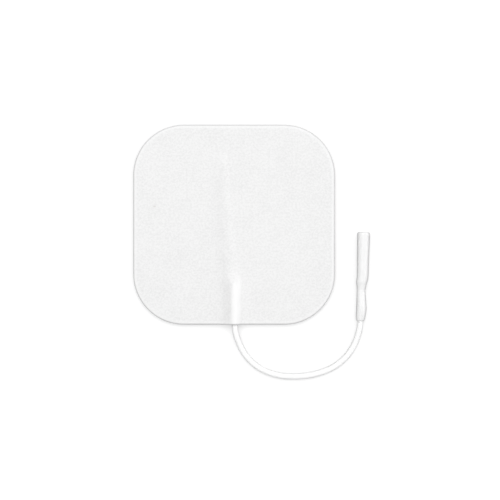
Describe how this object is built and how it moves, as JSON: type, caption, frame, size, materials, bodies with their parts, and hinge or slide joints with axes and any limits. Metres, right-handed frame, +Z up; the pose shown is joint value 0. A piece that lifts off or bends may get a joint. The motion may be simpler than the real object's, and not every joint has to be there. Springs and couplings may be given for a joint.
{
  "type": "nerve stimulator electrode pad",
  "caption": "Square self-adhesive electrode pad with round corners, a white nonwoven cover, a carbon film, a gel face, and a short white lead ending in a pin socket.",
  "frame": {"origin": "centre of the gel's underside, on the surface that the pad lies on", "axes": "+Z up through the layers to the cover, -Y towards the edge that the lead leaves by, +X towards the side on which the lead curls back"},
  "size_m": [0.0593, 0.0638, 0.0032],
  "materials": {
    "hydrogel": "clear, tacky hydrogel sheet with a faint support mesh in it",
    "carbon_film": "black carbon-filled vinyl film, satin",
    "nonwoven_fabric": "white spunlace nonwoven, matte, finely mottled with fibres",
    "tinned_copper": "tinned copper strands",
    "lead_vinyl": "white flexible vinyl, softly glossy",
    "sleeve_vinyl": "white soft moulded vinyl, satin",
    "plated_brass": "nickel-plated brass tube"
  },
  "bodies": {
    "root": {"gel_layer": "hydrogel", "carbon_film": "carbon_film", "backing_fabric": "nonwoven_fabric", "conductor_tail": "tinned_copper", "lead_wire": "lead_vinyl", "connector_sleeve": "sleeve_vinyl", "connector_socket": "plated_brass", "conductor_crimped_end": "tinned_copper"}
  },
  "joints": []
}
